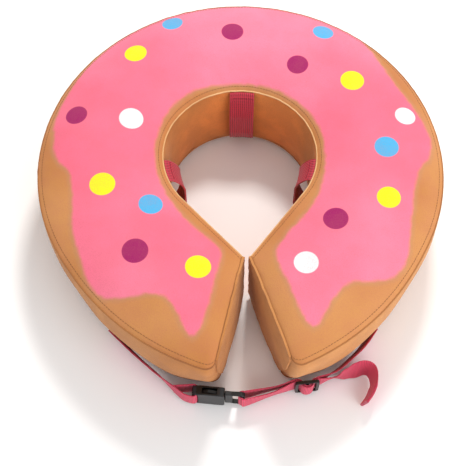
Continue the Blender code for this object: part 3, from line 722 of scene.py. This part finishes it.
def seam_tube(name, path, radius, finish):
    """A thin welt that lies along a seam."""
    sides = 8
    points = [Vector(p) for p in path]
    front = []
    for k, point in enumerate(points):
        along = (points[min(k + 1, len(points) - 1)] - points[max(k - 1, 0)]).normalized()
        side = along.cross(Vector((0, 0, 1))).normalized()
        up = side.cross(along).normalized()
        front.append([
            point + (side * math.cos(t) + up * math.sin(t)) * radius
            for t in [2 * math.pi * s / sides for s in range(sides)]
        ])
    mesh = bpy.data.meshes.new(name)
    faces = []
    for k in range(len(points) - 1):
        for s in range(sides):
            t = (s + 1) % sides
            faces.append([k * sides + s, k * sides + t, (k + 1) * sides + t, (k + 1) * sides + s])
    faces.append(list(range(sides))[::-1])
    faces.append([(len(points) - 1) * sides + s for s in range(sides)])
    mesh.from_pydata([tuple(p) for row in front for p in row], [], faces)
    return add_piece(name, mesh, finish)


def make_seams(finish, highlight_finish, thread):
    """Welts on the top panel's seams, dark with painted seam shade and the inner one light with a painted
    highlight, and a row of short stitches beside each.
    """
    angles = stations(300)
    outer = [top_point(a, 1.0) for a in angles]
    inner = [top_point(a, 0.0) for a in angles]
    ends = [[top_point(side * END_ANGLE, s) for s in seam_shares(40)] for side in (1, -1)]
    low = [bottom_point(a, 1.0) for a in stations(200)]
    names = ["welt_outer", "welt_inner", "welt_left_end", "welt_right_end", "welt_low"]
    for name, path in zip(names, [outer, inner, *ends, low]):
        # the inner welt carries a painted highlight, the other welts painted seam shade
        piece = seam_tube(name, path, WELT_RADIUS, highlight_finish if name == "welt_inner" else finish)
        dress(piece, None)
    rows = {
        "stitches_outer": [top_point(a, 1.0 - STITCH_SHARE) for a in stations(360)],
        "stitches_inner": [top_point(a, STITCH_SHARE) for a in stations(360)],
    }
    for name, path in rows.items():
        make_stitches(name, path, thread, STITCH_PITCH)


def make_stitches(name, path, finish, pitch):
    """A row of short threads at an even pitch along a path."""
    run = [0.0]
    for a, b in zip(path, path[1:]):
        run.append(run[-1] + (b - a).length)
    work = bmesh.new()
    count = int(run[-1] / pitch)
    where = np.array([tuple(p) for p in path])
    for k in range(count):
        centre = (k + 0.5) * pitch
        ends = [Vector([np.interp(centre + d * STITCH_LENGTH / 2, run, where[:, c]) for c in range(3)])
                for d in (-1, 1)]
        along = (ends[1] - ends[0]).normalized()
        side = along.cross(Vector((0.1, 0.2, 1.0))).normalized()
        up = side.cross(along)
        rings = []
        for end in ends:
            rings.append([work.verts.new(end + (side * math.cos(t) + up * math.sin(t)) * STITCH_RADIUS)
                          for t in (0.0, math.pi / 2, math.pi, 1.5 * math.pi)])
        for s in range(4):
            t = (s + 1) % 4
            work.faces.new([rings[0][s], rings[0][t], rings[1][t], rings[1][s]])
        work.faces.new(rings[0][::-1])
        work.faces.new(rings[1])
    mesh = bpy.data.meshes.new(name)
    work.to_mesh(mesh)
    work.free()
    piece = add_piece(name, mesh, finish)
    dress(piece, None)


# ---------------------------------------------------------------- the inner loops

def make_loops(finish, thread):
    """The three webbing loops on the inner wall, sewn down at both ends."""
    low, high = SEAM_LOW + 0.0025, SEAM_HIGH - 0.0020
    levels = spread(low, high, 60)
    offsets = spread(-LOOP_WIDTH / 2, LOOP_WIDTH / 2, 6)
    for name, degrees in LOOP_ANGLES.items():
        angle = math.radians(degrees)
        normal = Vector((-math.sin(angle), math.cos(angle), 0.0))
        side = Vector((-normal.y, normal.x, 0.0))
        free = inner_wall(angle, ZIP_LEVEL) - normal * LOOP_STANDOFF

        def point(offset, level, depth):
            part = (level - low) / (high - low)
            bow = min(1.0, 1.15 * math.sin(math.pi * min(max(part, 0.0), 1.0)) ** 0.75)
            sewn = inner_wall(angle, level) - normal * 2 * GAP
            band = sewn.lerp(free, bow)
            curve = offset**2 / (2 * NECK_RADIUS)
            spot = band - normal * (depth + curve) + side * offset
            return Vector((spot.x, spot.y, level))

        piece = cloth(f"loop_{name}_webbing",
                      grid(levels, offsets, lambda z, s: point(s, z, LOOP_THICK)),
                      grid(levels, offsets, lambda z, s: point(s, z, 0.0)), finish,
                      uv=lambda i, j: (levels[i], offsets[j]))
        dress(piece, f"collar_loop_{name}")
        for end, level in (("low", low + 0.003), ("high", high - 0.003)):
            row = [point(s, level, LOOP_THICK + 0.0002) for s in spread(-0.011, 0.011, 8)]
            make_stitches(f"stitches_loop_{name}_{end}", row, thread, 0.0026)


# ---------------------------------------------------------------- the strap

def eased(stops, knot):
    """A value eased between (knot, value) stops along a path, and held beyond the first and the last."""
    if knot <= stops[0][0]:
        return stops[0][1]
    for (start, low), (stop, high) in zip(stops, stops[1:]):
        if knot <= stop:
            return low + (high - low) * smoothstep((knot - start) / (stop - start))
    return stops[-1][1]


def strap(name, knots, finish, first=0, lean=LEVEL, layers=SINGLE, drop=LEVEL):
    """Webbing on edge through plan points, with rounded selvedges and a UV map in metres.

    first is the place of the first point among the whole strap's knots.
    """
    points = smooth_path(knots, 8)
    run = [0.0]
    for a, b in zip(points, points[1:]):
        run.append(run[-1] + (b - a).length)
    edges = [-1.0, -0.96, -0.85, -0.4, 0.0, 0.4, 0.85, 0.96, 1.0]
    plump = [0.45, 0.85, 1.0, 1.0, 1.0, 1.0, 1.0, 0.85, 0.45]
    near, far = [], []
    for k, point in enumerate(points):
        before = points[max(k - 1, 0)]
        after = points[min(k + 1, len(points) - 1)]
        along = (after - before).normalized()
        side = Vector((along.y, -along.x))
        knot = first + k * (len(knots) - 1) / (len(points) - 1)
        tip = math.radians(eased(lean, knot))
        half = WEBBING_THICK * eased(layers, knot) / 2
        rows = ([], [])
        for edge, full in zip(edges, plump):
            lift = edge * WEBBING_WIDTH / 2
            foot = point + side * lift * math.sin(tip) + RING_CENTRE
            height = STRAP_LEVEL + lift * math.cos(tip) - eased(drop, knot)
            rows[0].append(Vector((*(foot + side * half * full), height)))
            rows[1].append(Vector((*(foot - side * half * full), height)))
        near.append(rows[0])
        far.append(rows[1])
    return cloth(name, near, far, finish, uv=lambda i, j: (run[i], edges[j] * WEBBING_WIDTH / 2))


def make_left_strap(finish):
    """The left webbing: from its anchor, round the receptacle's bar, and back a little way."""
    bar = -RECEPTACLE_LENGTH + 0.0013
    near = [(bar - 0.014, -0.0010), (bar - 0.007, -0.0048), (bar, -0.0060), (bar + 0.0030, -0.0042),
            (bar + 0.0030, 0.0), (bar + 0.0030, 0.0042), (bar, 0.0060), (bar - 0.006, 0.0052),
            (bar - 0.020, 0.0030)]
    route = [(-0.1344, -0.1441), (-0.1228, -0.1571), (-0.1100, -0.1710), (-0.0935, -0.1875)]
    knots = [*[Vector(p) for p in route], *[turned(p, BUCKLE_MOUTH, BUCKLE_TURN) for p in near]]
    piece = strap("left_strap", knots, finish, lean=LEFT_LEAN)
    dress(piece, "left_webbing")


def through_glide(outer, direction):
    """Knots of one layer of webbing over the tri-glide's middle bar."""
    if outer:
        half = [(-0.0100, 0.0027), (-0.0079, 0.0023), (-0.0062, 0.0002), (-0.0049, -0.0024),
                (-0.0026, -0.0041)]
        crest = (0.0, -0.0046)
    else:
        half = [(-0.0100, 0.0045), (-0.0070, 0.0040), (-0.0047, 0.0017), (-0.0034, -0.0007),
                (-0.0023, -0.0024)]
        crest = (0.0, -0.0028)
    spots = [*half, crest, *[(-x, y) for x, y in reversed(half)]]
    return [turned(p, GLIDE_CENTRE, GLIDE_TURN) for p in spots[::direction]]


def make_adjuster(finish):
    """The adjuster's webbing: its loop is baked in place and put on no body, the webbing woven through
    the tri-glide rides that, and the strand and the tail stay on the collar."""
    bar = PLUG_LENGTH - PLUG_BAR / 2
    around = [(bar + 0.0028, 0.0040), (bar, 0.0037), (bar - 0.0032, 0.0026), (bar - 0.0038, 0.0),
              (bar - 0.0032, -0.0026), (bar, -0.0037), (bar + 0.0028, -0.0040)]
    anchor = [(0.1229, -0.1563), (0.1110, -0.1715), (0.1000, -0.1820), (0.0820, -0.1960)]
    tail = [(0.0790, -0.2025), (0.0910, -0.1990), (0.1010, -0.1955), (0.1090, -0.1930),
            (0.1152, -0.1950), (0.1178, -0.2010), (0.1172, -0.2100), (0.1125, -0.2205),
            (0.1057, -0.2291)]
    knots = [
        *[Vector(p) for p in anchor],
        *through_glide(False, -1),
        Vector((0.0220, -0.2100)),
        *[turned(p, BUCKLE_MOUTH, BUCKLE_TURN) for p in around],
        Vector((0.0180, -0.2160)),
        *through_glide(True, 1),
        *[Vector(p) for p in tail],
    ]
    stretches = {
        "adjuster_strand": (0, 5), "adjuster_weave_inner": (5, 14), "adjuster_loop": (14, 24),
        "adjuster_weave_outer": (24, 33), "adjuster_tail": (33, 43),
    }
    for name, (first, last) in stretches.items():
        piece = strap(name, knots[first:last + 1], finish, first,
                      ADJUSTER_LEAN, ADJUSTER_LAYERS, ADJUSTER_DROP)
        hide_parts("adjuster_webbing")
        if name == "adjuster_loop":
            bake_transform(piece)
        elif "weave" in name:
            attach(piece, "tri_glide")
        else:
            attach(piece, "collar")


# ---------------------------------------------------------------- the zip and the CAD pieces

def make_zip_teeth(finish):
    """Coil teeth along both edges of the zip, which close it, in place of the plain strips."""
    pitch = TOOTH_PITCH
    half = ZIP_HALF_ANGLE - TOOTH_MARGIN
    count = int(2 * half * OUTER_RADIUS / pitch)
    for name, side in (("upper", 1), ("lower", -1)):
        work = bmesh.new()
        for k in range(count):
            angle = half - (k + (0.25 if side > 0 else 0.75)) * pitch / OUTER_RADIUS
            edges = [ZIP_LEVEL - side * z for z in TOOTH_REACH]
            corners = []
            for depth, grow in TOOTH_FACES:
                for z in edges:
                    for d in (-1, 1):
                        place = outer_wall(angle + d * grow * pitch / 2 / OUTER_RADIUS, z, depth)
                        corners.append(work.verts.new(place))
            a, b, c, d, e, f, g, h = corners
            for ring in ((a, b, d, c), (e, g, h, f), (a, e, f, b), (c, d, h, g), (a, c, g, e), (b, f, h, d)):
                work.faces.new(ring)
        bmesh.ops.recalc_face_normals(work, faces=work.faces)
        mesh = bpy.data.meshes.new(f"zip_teeth_{name}")
        work.to_mesh(mesh)
        work.free()
        piece = add_piece(f"zip_teeth_{name}", mesh, finish)
        dress(piece, f"zipper_coil_{name}")


def dress_cad(finishes):
    """The CAD pieces whose shape is final get their finish."""
    for node, finish in finishes.items():
        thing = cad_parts[node]
        thing.data.materials.clear()
        thing.data.materials.append(finish)


place_camera()
light_scene()
lay_floor()
iced = iced_plush()
tan = plush("tan_plush", TAN, TAN_DARK)
# the inner wall's plush, with painted warm bounce light in its colour
bounce_tinted_tan = plush("wall_plush", INNER_WALL_BOUNCE_TAN, TAN_DARK)
red_weave = webbing("red_weave", RED_WEBBING, 0.0020, lengthwise=True)
pink_weave = webbing("pink_weave", PINK_WEBBING, 0.0013)
thread = twisted_thread("tan_thread", (0.30, 0.12, 0.04))
dark_thread = twisted_thread("dark_thread", (0.30, 0.01, 0.03))
# painted highlight: the inner seam's welt is coloured light tan for the light its raised ridge catches
highlight_welt = plush("painted_highlight_welt_plush", (0.88, 0.56, 0.28), (0.74, 0.42, 0.18))
# painted seam shade: the welts on the outer, end and low seams are coloured dark brown for the shade along
# the seam line
welt = plush("painted_seam_shade_welt_plush", (0.42, 0.17, 0.045), (0.30, 0.11, 0.03))
black = moulded("black_acetal", BLACK, 0.34)
film = moulded("clear_film", (0.70, 0.72, 0.74), 0.22)
vinyl = moulded("valve_vinyl", (0.78, 0.79, 0.80), 0.30)
metal = plated()
tape = plush("zip_tape_cloth", (0.52, 0.27, 0.10), (0.40, 0.18, 0.06))
coil = moulded("zip_coil_plastic", (0.36, 0.17, 0.06), 0.40)
make_top(iced)
make_bottom(tan)
make_walls(tan, bounce_tinted_tan)
make_ends(tan)
make_seams(welt, highlight_welt, thread)
make_loops(red_weave, dark_thread)
make_left_strap(pink_weave)
make_adjuster(pink_weave)
make_zip_teeth(coil)
dress_cad({
    "bladder_upper_film": film, "bladder_lower_film": film, "valve_body": vinyl, "valve_cap": vinyl,
    "zipper_tape_upper": tape, "zipper_tape_lower": tape, "zipper_stop_closed": metal,
    "zipper_stop_open": metal, "zipper_slider": metal, "zipper_pull": metal,
    "buckle_receptacle": black, "buckle_plug": black, "buckle_prong_upper": black,
    "buckle_prong_lower": black, "tri_glide": black,
})
